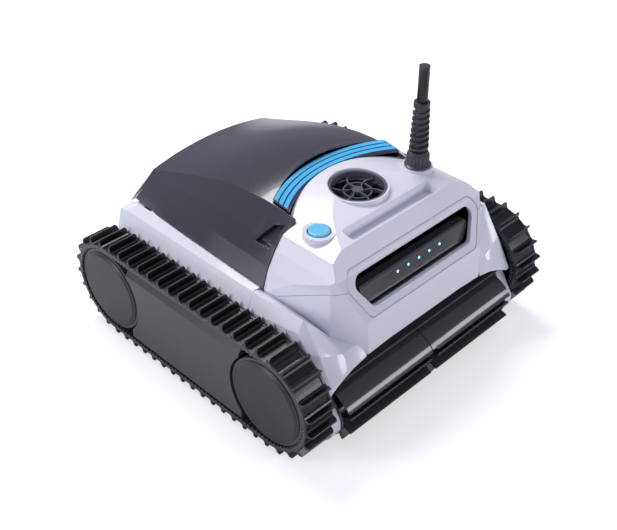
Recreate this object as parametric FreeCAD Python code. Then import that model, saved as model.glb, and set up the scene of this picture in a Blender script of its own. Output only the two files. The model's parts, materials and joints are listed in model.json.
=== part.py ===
"""Tracked robotic pool cleaner, modelled piece by piece in millimetres.

Frame: origin on the ground under the middle of the machine, +X to its right,
-Y to its front (the side with the handle window), +Z up.
"""
import FreeCAD
import Part
import math
import os

V = FreeCAD.Vector
os.makedirs("parts", exist_ok=True)

# ---------------------------------------------------------------- driving dimensions
# running gear
WIDTH = 400.0                 # over the two tracks
WHEELBASE = 270.0
TRACK_WIDTH = 40.0
BAND_R = 58.0                 # outer radius of the belt band on a wheel
BAND_T = 3.0
LUG_H = 10.0
LUGS = 51
LUG_TIP = 3.0                 # lug thickness at its tip and at its root
LUG_ROOT = 6.0
TEETH_PER_LUG = 3             # drive teeth on the inside of the band, for each lug
TOOTH_H = 2.0
TOOTH_W = 2.6
# gears
MODULE = 1.25
WHEEL_TEETH = 48
BRUSH_TEETH = 28
PINION_TEETH = 16
GEAR_FACE = 7.0               # face width of the wheel gears
# brushes
BRUSH_R = 33.0
BRUSH_CORE_R = 14.0
BRUSH_FINS = 10
BRUSH_DROP = 32.1             # brush axis below the wheel axis
# body
WALL = 2.6                    # moulded shell thickness
SEAM = 0.5                    # gap between neighbouring shells
HULL_HALF = 145.0             # outer face of the chassis side walls
HULL_WALL = 3.0
FLOOR_Z = 20.0                # underside of the chassis
FENDER_X = 158.0              # outermost face of the fenders
# clearances
RUN = 0.05                    # radial clearance of a shaft in its bush
CLEAR = 0.4                   # gap between pieces that move past each other
SEAT = 0.2                    # gap between pieces that sit on each other

# ---------------------------------------------------------------- derived places
HALF = WIDTH / 2
TRACK_IN = HALF - TRACK_WIDTH
WHEEL_Y = WHEELBASE / 2
WHEEL_Z = BAND_R + LUG_H
DRUM_R = BAND_R - BAND_T - TOOTH_H - CLEAR
MESH_BRUSH = MODULE * (WHEEL_TEETH + BRUSH_TEETH) / 2
MESH_PINION = MODULE * (WHEEL_TEETH + PINION_TEETH) / 2
BRUSH_Z = WHEEL_Z - BRUSH_DROP
BRUSH_Y = WHEEL_Y + math.sqrt(MESH_BRUSH ** 2 - BRUSH_DROP ** 2)
PINION_Y = WHEEL_Y - MESH_PINION


# ---------------------------------------------------------------- helpers
def save(name, *solids):
    """Writes one node: one solid, or a group of separate solids."""
    flat = []
    for s in solids:
        flat += s.Solids if s.ShapeType != "Solid" else [s]
    assert flat and all(s.isValid() for s in flat), name
    shape = flat[0] if len(flat) == 1 else Part.makeCompound(flat)
    shape.exportStep("parts/%s.step" % name)


def box(x0, x1, y0, y1, z0, z1):
    """A box between two X, two Y and two Z values, in either order."""
    lo = V(min(x0, x1), min(y0, y1), min(z0, z1))
    return Part.makeBox(abs(x1 - x0), abs(y1 - y0), abs(z1 - z0), lo)


def rod_x(r, x0, x1, y, z):
    return Part.makeCylinder(r, abs(x1 - x0), V(min(x0, x1), y, z), V(1, 0, 0))


def rod_z(r, x, y, z0, z1):
    return Part.makeCylinder(r, z1 - z0, V(x, y, z0), V(0, 0, 1))


def prism(points, direction):
    """A closed polygon pushed along a vector."""
    pts = [V(*p) for p in points]
    return Part.Face(Part.makePolygon(pts + [pts[0]])).extrude(V(*direction))


def prism_x(yz, x0, x1):
    """A (y, z) polygon from x0 to x1."""
    return prism([(x0, y, z) for y, z in yz], (x1 - x0, 0, 0))


def prism_z(xy, z0, z1):
    """An (x, y) polygon from z0 to z1."""
    return prism([(x, y, z0) for x, y in xy], (0, 0, z1 - z0))


def prism_y(xz, y0, y1):
    """An (x, z) polygon from y0 to y1."""
    return prism([(x, y0, z) for x, z in xz], (0, y1 - y0, 0))


def fuse(shapes):
    out = shapes[0]
    if len(shapes) > 1:
        out = out.multiFuse(shapes[1:])
    return out.removeSplitter()


def mirror_x(shape):
    return shape.mirror(V(0, 0, 0), V(1, 0, 0))


def mirror_y(shape):
    return shape.mirror(V(0, 0, 0), V(0, 1, 0))


# ---------------------------------------------------------------- running gear
def track_point(s, out):
    """A point of the belt's path at share s of its length, moved outwards by out.
    Starts on the top run at its middle and goes forwards."""
    arc = math.pi * BAND_R
    total = 2 * WHEELBASE + 2 * arc
    d = (s % 1.0) * total
    r = BAND_R + out
    if d < WHEEL_Y:
        return (-d, WHEEL_Z + r)
    d -= WHEEL_Y
    if d < arc:
        a = math.pi / 2 + d / BAND_R
        return (-WHEEL_Y + r * math.cos(a), WHEEL_Z + r * math.sin(a))
    d -= arc
    if d < WHEELBASE:
        return (-WHEEL_Y + d, WHEEL_Z - r)
    d -= WHEELBASE
    if d < arc:
        a = -math.pi / 2 + d / BAND_R
        return (WHEEL_Y + r * math.cos(a), WHEEL_Z + r * math.sin(a))
    d -= arc
    return (WHEEL_Y - d, WHEEL_Z + r)


def track_belt():
    """The right track: a rubber band with lugs outside and drive teeth inside."""
    total = 2 * WHEELBASE + 2 * math.pi * BAND_R
    outer, inner = [], []
    for k in range(LUGS):
        c = k / LUGS
        root, tip = LUG_ROOT / 2 / total, LUG_TIP / 2 / total
        outer += [track_point(c - root, 0), track_point(c - tip, LUG_H)]
        outer += [track_point(c + tip, LUG_H), track_point(c + root, 0)]
        outer += [track_point(c + f / LUGS, 0) for f in (0.36, 0.5, 0.64)]
    teeth = LUGS * TEETH_PER_LUG
    w = TOOTH_W / 2 / total
    for k in range(teeth):
        c = (k + 0.5) / teeth
        inner += [track_point(c - w, -BAND_T), track_point(c - 0.8 * w, -BAND_T - TOOTH_H)]
        inner += [track_point(c + 0.8 * w, -BAND_T - TOOTH_H), track_point(c + w, -BAND_T)]
    ring = prism_x(outer, TRACK_IN, HALF)
    return ring.cut(prism_x(inner, TRACK_IN - 1, HALF + 1))


def gear_outline(teeth, phase):
    """Points of an involute gear about the origin in (y, z); a tooth points at angle phase."""
    r = MODULE * teeth / 2
    pressure = math.radians(20)
    base = r * math.cos(pressure)
    tip = r + 0.85 * MODULE
    root = r - 1.1 * MODULE
    backlash = 0.10
    half = math.pi / 2 / teeth - backlash / r
    inv = math.tan(pressure) - pressure
    start = max(base, root)
    flank = []
    for k in range(6):
        rr = start + (tip - start) * k / 5
        a = math.acos(base / rr) if rr > base else 0.0
        flank.append((rr, half + inv - (math.tan(a) - a)))
    pts = []
    for k in range(teeth):
        c = phase + 2 * math.pi * k / teeth
        pts.append((root, c - flank[0][1]))
        pts += [(rr, c - w) for rr, w in flank]
        pts += [(rr, c + w) for rr, w in reversed(flank)]
        pts.append((root, c + flank[0][1]))
    clean = []
    for rr, a in pts:
        p = (rr * math.cos(a), rr * math.sin(a))
        if not clean or math.hypot(p[0] - clean[-1][0], p[1] - clean[-1][1]) > 1e-3:
            clean.append(p)
    return clean


def gear(teeth, phase, x0, x1, y, z):
    return prism_x([(y + a, z + b) for a, b in gear_outline(teeth, phase)], x0, x1)


GEAR_X0 = HULL_HALF + 3.0
GEAR_X1 = GEAR_X0 + GEAR_FACE
CASE_X1 = GEAR_X1 + 3.5       # outer face of the gear cases
AXLE_R = 5.0
HUB_R = 13.0
SPIGOT_R = 11.0               # seat of the pressed-on wheel gear
WHEEL_X0 = TRACK_IN + 1.0
WHEEL_X1 = HALF - 2.0
CAP_R = 49.0
CAP_X1 = HALF + 1.2
TO_BRUSH = math.atan2(-BRUSH_DROP, -(BRUSH_Y - WHEEL_Y))


def mate_phase(teeth, line):
    """Phase that puts a tooth gap on the line towards the driving gear."""
    return line + math.pi + math.pi / teeth


def wheel(y_side):
    """A right-hand wheel: drum, spokes and inboard gear, y_side -1 front or 1 rear."""
    y = y_side * WHEEL_Y
    drum = rod_x(DRUM_R, WHEEL_X0, WHEEL_X1, y, WHEEL_Z)
    drum = drum.cut(rod_x(DRUM_R - 4, WHEEL_X0 - 1, WHEEL_X1 - 4, y, WHEEL_Z))
    hub = rod_x(HUB_R, GEAR_X1, WHEEL_X1, y, WHEEL_Z)
    spigot = rod_x(SPIGOT_R, GEAR_X0, GEAR_X1, y, WHEEL_Z)
    ribs = []
    for k in range(6):
        rib = box(WHEEL_X0 + 4, WHEEL_X1 - 2, y + 6, y + DRUM_R - 2, WHEEL_Z - 1.5, WHEEL_Z + 1.5)
        rib.rotate(V(0, y, WHEEL_Z), V(1, 0, 0), 60 * k)
        ribs.append(rib)
    line = TO_BRUSH if y_side < 0 else math.pi - TO_BRUSH
    teeth = gear(WHEEL_TEETH, line, GEAR_X0, GEAR_X1, y, WHEEL_Z)
    body = fuse([drum, hub, spigot] + ribs)
    body = body.cut(rod_x(AXLE_R + RUN, GEAR_X0 - 1, WHEEL_X1 + 1, y, WHEEL_Z))
    return body, teeth.cut(rod_x(SPIGOT_R, GEAR_X0 - 1, GEAR_X1 + 1, y, WHEEL_Z))


def wheel_cap(y_side):
    """The smooth disc clipped over a wheel, with its chamfered rim."""
    y = y_side * WHEEL_Y
    disc = Part.makeCone(CAP_R, CAP_R - 4, CAP_X1 - WHEEL_X1 - 0.8,
                         V(WHEEL_X1 + 0.8, y, WHEEL_Z), V(1, 0, 0))
    rim = rod_x(CAP_R, WHEEL_X1, WHEEL_X1 + 0.8, y, WHEEL_Z)
    return fuse([disc, rim])


SHAFT_R = 3.0                 # motor output shafts
BRUSH_GAP = 4.0               # half the width left for the centre bracket
BRUSH_X1 = HULL_HALF - HULL_WALL - 2.0    # outer end of the fins
BRUSH_PIN_R = 4.0
NECK_R = 7.0


def brush(y_side):
    """The right half of a roller brush: sleeve, fins and end gear in separate solids."""
    y = y_side * BRUSH_Y
    bore = rod_x(BRUSH_PIN_R + RUN, 0, GEAR_X1 + 1, y, BRUSH_Z)
    core = rod_x(BRUSH_CORE_R, BRUSH_GAP, BRUSH_X1, y, BRUSH_Z)
    neck = rod_x(NECK_R, BRUSH_X1 - 1, GEAR_X1 - 0.5, y, BRUSH_Z)
    toward = TO_BRUSH if y_side < 0 else math.pi - TO_BRUSH
    teeth = gear(BRUSH_TEETH, mate_phase(BRUSH_TEETH, toward), GEAR_X0 + 0.5, GEAR_X1 - 0.5,
                 y, BRUSH_Z)
    teeth = teeth.cut(rod_x(NECK_R, GEAR_X0, GEAR_X1, y, BRUSH_Z))
    sleeve = fuse([core, neck]).cut(bore)
    fins = []
    for k in range(BRUSH_FINS):
        fin = box(BRUSH_GAP + 1, BRUSH_X1 - 1, y + BRUSH_CORE_R, y + BRUSH_R,
                  BRUSH_Z - 1.1, BRUSH_Z + 1.1)
        fin.rotate(V(0, y, BRUSH_Z), V(1, 0, 0), 360.0 / BRUSH_FINS * (k + 0.5))
        fins.append(fin)
    skin = rod_x(BRUSH_CORE_R + 1.6, BRUSH_GAP + 0.5, BRUSH_X1 - 0.5, y, BRUSH_Z)
    fins = fuse([skin] + fins).cut(rod_x(BRUSH_CORE_R, 0, BRUSH_X1 + 1, y, BRUSH_Z))
    return sleeve, teeth, fins


def pinion():
    """Output gear of the right drive motor."""
    line = 0.0                # from the front wheel axis towards the pinion
    phase = mate_phase(PINION_TEETH, line) - (TO_BRUSH * WHEEL_TEETH / PINION_TEETH)
    g = gear(PINION_TEETH, phase, GEAR_X0 + 0.5, GEAR_X1 - 0.5, -PINION_Y, WHEEL_Z)
    shaft = rod_x(SHAFT_R, HULL_HALF - 30, GEAR_X1 - 0.5, -PINION_Y, WHEEL_Z)
    return fuse([g, shaft])


# ---------------------------------------------------------------- chassis
FLOOR_T = 3.0
FLOOR_Y = BRUSH_Y - BRUSH_R - 4.0      # half length of the floor between the two brushes
SHELF_Z = 75.0                # roof over each brush
WALL_TOP = 122.0
MOUTH = (60.0, 40.0, 62.0)    # half width, rear and front limits of the suction mouth
BULKHEAD_Y = -12.0


def taper_x(a, ra, b, rb, x0, x1):
    """Two discs in the (y, z) plane joined by their outer tangents."""
    d = math.hypot(b[0] - a[0], b[1] - a[1])
    line = math.atan2(b[1] - a[1], b[0] - a[0])
    lean = math.acos((ra - rb) / d)
    pts = []
    for c, r, s in ((a, ra, 1), (b, rb, 1), (b, rb, -1), (a, ra, -1)):
        t = line + s * lean
        pts.append((c[0] + r * math.cos(t), c[1] + r * math.sin(t)))
    return fuse([prism_x(pts, x0, x1), rod_x(ra, x0, x1, *a), rod_x(rb, x0, x1, *b)])


def case_outline(grow, x0, x1):
    """Outline of a gear case round the gears of one side."""
    front, rear = (-WHEEL_Y, WHEEL_Z), (WHEEL_Y, WHEEL_Z)
    r_wheel = MODULE * WHEEL_TEETH / 2 + 3 + grow
    r_brush = MODULE * BRUSH_TEETH / 2 + 3 + grow
    long = taper_x(front, r_wheel, (rear[0], rear[1]), r_wheel - 0.001, x0, x1)
    arm_f = taper_x(front, r_wheel, (-BRUSH_Y, BRUSH_Z), r_brush, x0, x1)
    arm_r = taper_x(rear, r_wheel, (BRUSH_Y, BRUSH_Z), r_brush, x0, x1)
    return fuse([long, arm_f, arm_r])


def chassis_base():
    """Open tub: floor, side walls, brush roofs and the cross wall behind the pump."""
    inner = HULL_HALF - HULL_WALL
    floor = box(-HULL_HALF, HULL_HALF, -FLOOR_Y, FLOOR_Y, FLOOR_Z, FLOOR_Z + FLOOR_T)
    parts = [floor]
    for s in (-1, 1):
        side = case_outline(3, s * inner, s * HULL_HALF)
        riser = box(s * inner, s * HULL_HALF, -152, 152, WHEEL_Z, WALL_TOP)
        parts += [side, riser]
        parts.append(box(-HULL_HALF, HULL_HALF, s * FLOOR_Y, s * (FLOOR_Y + 3), FLOOR_Z, SHELF_Z + 3))
        parts.append(box(-HULL_HALF, HULL_HALF, s * FLOOR_Y, s * (BRUSH_Y + 6), SHELF_Z, SHELF_Z + 3))
        for y in (-WHEEL_Y, WHEEL_Y):
            parts.append(rod_x(11, s * (inner - 5), s * inner, y, WHEEL_Z))
    parts.append(box(-108, 108, -163, -160, SHELF_Z, 112))
    parts.append(box(-inner, inner, BULKHEAD_Y, BULKHEAD_Y + 3, FLOOR_Z, 176))
    tub = fuse(parts)
    cuts = [box(-MOUTH[0], MOUTH[0], MOUTH[1], MOUTH[2], FLOOR_Z - 1, FLOOR_Z + FLOOR_T + 1)]
    cuts.append(box(-60, 60, BULKHEAD_Y - 1, BULKHEAD_Y + 4, 124, 168))
    cuts.append(box(HULL_HALF - 30, HULL_HALF, BULKHEAD_Y - 1, BULKHEAD_Y + 4, 146, 177))
    cuts.append(box(-HULL_HALF + 30, -HULL_HALF, BULKHEAD_Y - 1, BULKHEAD_Y + 4, 146, 177))
    for s in (-1, 1):
        for t in (-1, 1):
            cuts.append(rod_x(AXLE_R, s * (inner - 6), s * (HULL_HALF + 1), t * WHEEL_Y, WHEEL_Z))
            cuts.append(rod_x(9 + CLEAR, s * (inner - 9), s * (inner - 5), t * WHEEL_Y, WHEEL_Z))
            cuts.append(rod_x(NECK_R + CLEAR, s * (inner - 1), s * (HULL_HALF + 1), t * BRUSH_Y, BRUSH_Z))
        cuts.append(rod_x(SHAFT_R + CLEAR, s * (inner - 1), s * (HULL_HALF + 1), -PINION_Y, WHEEL_Z))
    return tub.cut(Part.makeCompound(cuts))


COVER_T = 2.5


def gear_cover():
    """Right gear case: a tray over the gears with a flange to the chassis wall."""
    plate_x = CASE_X1 - COVER_T
    tray = case_outline(2, HULL_HALF, CASE_X1).cut(case_outline(0, HULL_HALF - 1, plate_x))
    cuts = []
    for t in (-1, 1):
        cuts.append(rod_x(HUB_R + CLEAR, plate_x - 1, CASE_X1 + 1, t * WHEEL_Y, WHEEL_Z))
        cuts.append(rod_x(BRUSH_PIN_R, plate_x - 1, CASE_X1 - 1, t * BRUSH_Y, BRUSH_Z))
    return tray.cut(Part.makeCompound(cuts))


def wheel_axles():
    """Four fixed stub axles with a collar inside the chassis wall."""
    out = []
    for s in (-1, 1):
        for t in (-1, 1):
            stub = rod_x(AXLE_R, s * (HULL_HALF - HULL_WALL - 5), s * (HALF - 2.6), t * WHEEL_Y, WHEEL_Z)
            inside = s * (HULL_HALF - HULL_WALL - 5)
            collar = rod_x(9, inside - s * 3, inside, t * WHEEL_Y, WHEEL_Z)
            out.append(fuse([stub, collar]))
    return out


def brush_pins():
    reach = CASE_X1 - 1
    return [rod_x(BRUSH_PIN_R, -reach, reach, t * BRUSH_Y, BRUSH_Z) for t in (-1, 1)]


GUARD_R = 36.5                # outer radius of the brush guard and strap about the brush


def centre_bracket():
    """Front strap that holds the middle of the brush pin."""
    w = BRUSH_GAP - 0.7
    disc = rod_x(GUARD_R + 0.8, -w, w, -BRUSH_Y, BRUSH_Z)
    keep = box(-w, w, -BRUSH_Y - 45, -BRUSH_Y + 30, BRUSH_Z + 22, SHELF_Z)
    hub = rod_x(11, -w, w, -BRUSH_Y, BRUSH_Z)
    neck = box(-w, w, -BRUSH_Y - 8, -BRUSH_Y + 20, BRUSH_Z, BRUSH_Z + 30)
    post = box(-w, w, -BRUSH_Y, -FLOOR_Y - 3, BRUSH_Z + 22, SHELF_Z)
    body = fuse([disc.common(keep), hub, neck, post])
    return body.cut(rod_x(BRUSH_PIN_R, -w - 1, w + 1, -BRUSH_Y, BRUSH_Z))


def roller_guard():
    """Front gloss bar curved over the brush, slotted for the strap."""
    x = HULL_HALF - HULL_WALL - 1
    shell = rod_x(GUARD_R, -x, x, -BRUSH_Y, BRUSH_Z).cut(rod_x(GUARD_R - 2.2, -x - 1, x + 1, -BRUSH_Y, BRUSH_Z))
    keep = box(-x, x, -BRUSH_Y - 45, -BRUSH_Y + 12, BRUSH_Z + 19, BRUSH_Z + 45)
    top = box(-x, x, -BRUSH_Y - 4, -BRUSH_Y + 12, BRUSH_Z + 35.3, SHELF_Z)
    bar = fuse([shell.common(keep), top])
    w = BRUSH_GAP - 0.7 + SEAT
    return bar.cut(box(-w, w, -BRUSH_Y - 50, -BRUSH_Y + 20, BRUSH_Z, SHELF_Z + 5))


def track_frame():
    """Right hollow beam that carries the side panel inside the belt loop."""
    x1 = HALF - 10
    beam = box(CASE_X1, x1, -46, 46, 34, 102).cut(box(CASE_X1 + 2, x1 + 1, -43, 43, 37, 99))
    rails = [box(CASE_X1 + 1, x1, -70, 70, z - 2, z + 2) for z in (34, 102)]
    rest = rod_x(HUB_R + 8, CASE_X1, x1, -WHEEL_Y, WHEEL_Z)
    rest = rest.fuse(rod_x(HUB_R + 8, CASE_X1, x1, WHEEL_Y, WHEEL_Z))
    return fuse([beam] + rails).cut(rest)


def side_panel():
    """Right cover plate between the wheels: bevelled top, hollowed round both caps."""
    y, z0, z1 = 96.0, WHEEL_Z - BAND_R + 8.5, WHEEL_Z + BAND_R - 8.5
    plate = box(HALF - 10, HALF, -y, y, z0, z1)
    bevel = prism_y([(HALF - 7, z1 + 1), (HALF + 1, z1 + 1), (HALF + 1, z1 - 9)], -y - 1, y + 1)
    plate = plate.cut(bevel)
    hollow = box(HALF - 11, HALF - 2.5, -y + 30, y - 30, z0 + 3, z1 - 14)
    arcs = [rod_x(DRUM_R + 2.2, HALF - 11, HALF + 1, t * WHEEL_Y, WHEEL_Z) for t in (-1, 1)]
    return plate.cut(Part.makeCompound([hollow] + arcs))


# ---------------------------------------------------------------- outer shells
# side view (y, z) of the front body, plan (x, y) and front view (x, z) of its right half
FRONT_LOW = (-184.0, 80.0)
FRONT_BULGE = (-181.0, 141.0)
FRONT_BROW = (-157.0, 191.0)
DECK_EDGE = (-137.0, 209.0)
DECK_TOP = (-76.0, 219.5)
CROWN_Z = 221.5               # crown of the deck and its radius across the machine
CROWN_R = 340.0
NOSE_X = 92.0
SHOULDER = ((106.0, 232.0), (106.0, 207.0), (120.0, 190.0), (131.0, 171.0), (138.0, 149.5))
RIM_C = -181.0                # centre and radii of the curved rim between deck and lid
RIM_R = 171.0
TRIM_R = 150.0
HORN_X = 89.0                 # inner edge of the lid's two front horns
HORN_Y = -70.0                # front end of the lid's horns


def inset(pts, d):
    """An anticlockwise polygon moved inwards by d on every edge."""
    n = len(pts)
    lines = []
    for k in range(n):
        (x0, y0), (x1, y1) = pts[k], pts[(k + 1) % n]
        m = math.hypot(x1 - x0, y1 - y0)
        nx, ny = -(y1 - y0) / m, (x1 - x0) / m
        lines.append((nx, ny, nx * x0 + ny * y0 + d))
    out = []
    for k in range(n):
        a, b = lines[k - 1], lines[k]
        det = a[0] * b[1] - a[1] * b[0]
        out.append(((a[2] * b[1] - a[1] * b[2]) / det, (a[0] * b[2] - a[2] * b[0]) / det))
    return out


def front_hull(d):
    """Solid form of the front body, every outer face moved inwards by d and open below."""
    z_low = FRONT_LOW[1]
    side = [FRONT_LOW, (60, z_low), (60, 226), (0, 223), DECK_TOP, DECK_EDGE, FRONT_BROW, FRONT_BULGE]
    plan = [(-NOSE_X, -186), (NOSE_X, -186), (121, -152), (141, -64), (141, 70)]
    plan += [(-141, 70), (-141, -64), (-121, -152)]
    right = [(140, z_low)] + [(x, z) for x, z in reversed(SHOULDER)]
    front = right + [(-x, z) for x, z in reversed(right)]
    low = d * 3 if d else 0
    side = [(y, z - (low if z < z_low + d + 0.1 else 0)) for y, z in inset(side, d)]
    front = [(x, z - (low if z < z_low + d + 0.1 else 0)) for x, z in inset(front, d)]
    hull = prism_x(side, -160, 160)
    hull = hull.common(prism_y(front, -200, 70))
    hull = hull.common(prism_z(inset(plan, d), 60, 240))
    crown = Part.makeCylinder(CROWN_R - d, 280, V(0, -200, CROWN_Z - CROWN_R), V(0, 1, 0))
    return hull.common(crown)


def rim_plan(r, half, z0, z1):
    """The deck's plan behind which the lid starts: a wide arc, straight at the sides."""
    disc = rod_z(r, 0, RIM_C, z0, z1)
    return disc.common(box(-half, half, -150, 20, z0, z1))


WINDOW_OUT = ((-88, 142), (88, 142), (109, 181), (99, 195), (-99, 195), (-109, 181))
WINDOW_IN = ((-80, 150.5), (80, 150.5), (98, 179), (89, 188), (-89, 188), (-98, 179))
WINDOW_ROUND = 9.0
FAN = (0.0, -76.0)
FAN_R = 33.0
BUTTON = (-86.0, -101.0)
GLAND = (82.0, -92.5)
GLAND_Z = 217.0
GROOVE = (70.0, -135.0, -117.0)
GROOVE_FLOOR = 199.0


def window_prism(points, grow, y0, y1):
    """Rounded outline of the window, grown by grow, pushed from y0 to y1."""
    solid = prism_y(inset(points, -grow), y0, y1)
    return solid.makeFillet(WINDOW_ROUND, [e for e in solid.Edges if e.BoundBox.YLength > 1])


def front_split(shift):
    """Side-view wedge above the seam that runs from the window to the fender."""
    y1 = HORN_Y - SEAM
    pts = [(-200, 250), (-200, 187 - shift), (-146, 174 - shift), (-88, 147 - shift), (y1, 147 - shift)]
    pts += [(y1, 250)]
    return prism_x(pts, -200, 200)


def groove_form(grow, z0, z1):
    """The hand groove in the deck with rounded ends, grown by grow."""
    block = box(-GROOVE[0] - grow, GROOVE[0] + grow, GROOVE[1] - grow, GROOVE[2] + grow, z0, z1)
    return block.makeFillet(5 + grow, [e for e in block.Edges if e.BoundBox.ZLength > 1])


# front corner of the body beside the track: stations across it, each with four (y, z) points
FLARE = [
    (98.0, (-183.4, 100.0), (-174.0, 112.0), (-152.0, 120.0), 128.0),
    (122.0, (-183.0, 96.0), (-171.0, 109.0), (-149.0, 122.0), 138.0),
    (144.0, (-183.0, 88.0), (-168.0, 117.0), (-145.0, 148.0), 148.5),
    (151.0, (-183.0, 85.0), (-167.0, 119.0), (-143.0, 156.0), 149.0),
    (FENDER_X, (-182.0, 82.0), (-165.0, 112.0), (-142.0, 141.0), 128.0),
]
FLARE_Z0 = 78.0


def flare_form(d):
    """Solid form of the right front corner, moved inwards by d and open below."""
    wires = []
    y1 = HORN_Y + 4 - SEAM
    for x, a, b, c, top in FLARE:
        pts = inset([(-184, FLARE_Z0), (y1, FLARE_Z0), (y1, top), c, b, a], d)
        if d:
            pts = [(y if y < -100 else y1 + 1, z if z > FLARE_Z0 + d + 0.1 else z - 4 * d) for y, z in pts]
        xx = x - d if x > 150 else x
        line = [V(xx, y, z) for y, z in pts]
        wires.append(Part.makePolygon(line + [line[0]]))
    return Part.makeLoft(wires, True, True)


def front_cowl():
    """White deck: fan throat, button pad, gland seat, handle groove and brow."""
    skin = front_hull(0).cut(front_hull(WALL))
    keep = front_split(0).fuse(rim_plan(TRIM_R, HORN_X - SEAM, 60, 250))
    skin = skin.common(keep)
    pads = [rod_z(18, BUTTON[0], BUTTON[1], 204, 212.6), rod_z(17.5, GLAND[0], GLAND[1], 206, GLAND_Z)]
    well = rod_z(16.5, BUTTON[0], BUTTON[1], 196, 211)
    lip = rod_z(FAN_R + WALL, FAN[0], FAN[1], 205, 218.8)
    body = fuse([skin] + pads + [well, lip])
    cuts = [window_prism(WINDOW_OUT, 0, -200, -139)]
    cuts.append(rod_z(FAN_R, FAN[0], FAN[1], 190, 240))
    cuts.append(rod_z(BUTTON_R + CLEAR, BUTTON[0], BUTTON[1], 198, 220))
    cuts.append(rod_z(4 + CLEAR, BUTTON[0], BUTTON[1], 190, 220))
    cuts.append(rod_z(9, GLAND[0], GLAND[1], 195, 230))
    groove = groove_form(0, GROOVE_FLOOR, 240)
    tray = groove_form(WALL, GROOVE_FLOOR - WALL, 230).common(front_hull(0.2))
    return body.fuse(tray).cut(Part.makeCompound(cuts + [groove]))


def front_shell():
    """White lower front: the bulge round the window, the apron and both front corners."""
    keep = box(-200, 200, -200, HORN_Y - SEAM, 60, 240)
    outer, inner = front_hull(0).common(keep), front_hull(WALL)
    for turn in (lambda f: f, mirror_x):
        outer = outer.fuse(turn(flare_form(0)))
        inner = inner.fuse(turn(flare_form(WALL)))
    skin = outer.cut(inner).cut(front_split(SEAM).common(front_hull(-SEAM)))
    apron = [(-60, 60), (60, 60), (152, 60), (152, 78), (135, 87), (118, 94), (95, 99), (60, 101)]
    apron += [(-60, 101), (-95, 99), (-118, 94), (-135, 87), (-152, 78), (-152, 60)]
    cuts = [prism_y(apron, -200, -60), window_prism(WINDOW_OUT, 0, -200, -139)]
    cuts.append(box(-170, 170, -140, 0, 60, 108))
    cuts += [case_outline(2 + CLEAR, s * (HULL_HALF - 1), s * (FENDER_X + 2)) for s in (-1, 1)]
    return skin.cut(Part.makeCompound(cuts))


def window_bezel():
    """White ring round the window."""
    skin = front_hull(0.4).cut(front_hull(WALL + 2))
    ring = window_prism(WINDOW_OUT, -SEAM, -200, -139).cut(window_prism(WINDOW_IN, 0, -201, -138))
    return skin.common(ring)


def handle_pocket():
    """Dark liner of the window, deep enough for the fingers that lift the machine."""
    back = [(-145, 192), (-136, 186), (-134, 178), (-146, 148), (-170, 148)]
    inner = [(-170, 150.2), (-147, 150.2), (-136.2, 178), (-138, 185), (-146, 189.6)]
    floor = prism_x(back + inner, -101, 101)
    ends = prism_x(back + [(-160, 186)], 99, 101)
    liner = fuse([floor, ends, mirror_x(ends)])
    liner = liner.cut(rod_z(17, BUTTON[0], BUTTON[1], 150, 220))
    return liner.common(front_hull(WALL + 2.1))


LED_STEP = 17.5
LED_COUNT = 5
LED_R = 1.5
BAR_TOP = 172.0


def led_places(y):
    """Axes of the lamps, square to the bar's face."""
    lean = V(0, -1, 0.32)
    return [(V(5 + LED_STEP * (k - (LED_COUNT - 1) / 2), y, 161.5), lean) for k in range(LED_COUNT)]


def led_lens():
    """Dark bar across the lower half of the window, pierced for the lamps."""
    face = [(-167.4, 150.6), (-161.6, BAR_TOP - 2), (-159.6, BAR_TOP), (-150, BAR_TOP), (-150, 150.6)]
    bar = prism_x(face, -88, 88).common(window_prism(WINDOW_IN, -SEAM, -200, -130))
    holes = [Part.makeCylinder(LED_R, 12, c, n) for c, n in led_places(-157)]
    return bar.cut(Part.makeCompound(holes))


def led_lamps():
    """Row of lamps in the bar, level with its face."""
    lamps = []
    for c, n in led_places(-157):
        lamp = Part.makeCylinder(LED_R, 12, c, n)
        lamps.append(lamp.common(prism_x([(-167.6, 150), (-161.2, 172), (-150, 172), (-150, 150)], -88, 88)))
    return lamps


def trim_ring(r0, r1, z0, z1, drop):
    """A conical strip round the rim's centre, z0 on its inner edge and z1 on its outer one."""
    pts = [V(r0, 0, z0), V(r1, 0, z1), V(r1, 0, z1 - drop), V(r0, 0, z0 - drop)]
    ring = Part.Face(Part.makePolygon(pts + [pts[0]])).revolve(V(0, 0, 0), V(0, 0, 1), 360)
    ring.translate(V(0, RIM_C, 0))
    return ring.common(box(-HORN_X + SEAM, HORN_X - SEAM, -150, 20, 150, 260))


def trim_height(r):
    return 219.4 + (r - TRIM_R) * 0.20


def trim_base():
    """Navy strip between the deck and the lid."""
    r1 = RIM_R - SEAM
    return trim_ring(TRIM_R + 0.1, r1, trim_height(TRIM_R), trim_height(r1), 3.0)


def trim_stripes():
    """Three blue strips laid on the navy one."""
    out = []
    for k in range(3):
        a = TRIM_R + 2.4 + 6.2 * k
        out.append(trim_ring(a, a + 4.6, trim_height(a) + 0.75, trim_height(a + 4.6) + 0.75, 0.7))
    return out


# lid stations from front to rear: y, crown z, then four creases (x, z) down the side
LID = [
    (HORN_Y, 223.0, (89.5, 213.5), (119.0, 194.0), (131.0, 173.0), (139.5, 150.0)),
    (-29.0, 230.0, (90.0, 218.0), (119.0, 196.5), (130.0, 174.0), (138.5, 150.0)),
    (27.0, 226.5, (90.5, 214.0), (116.5, 194.0), (127.0, 172.0), (136.5, 150.0)),
    (104.0, 205.0, (90.5, 194.0), (108.0, 181.0), (119.0, 165.0), (132.5, 149.5)),
    (174.0, 182.0, (91.0, 171.0), (100.0, 163.0), (109.0, 152.0), (121.0, 143.0)),
]
SKIRT = (189.0, 140.0, (116.0, 134.5), (117.0, 133.8), (118.0, 133.0), (119.0, 132.0))
HINGE_Y = 192.5
HINGE_Z = 131.0
PIN_R = 2.0


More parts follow.
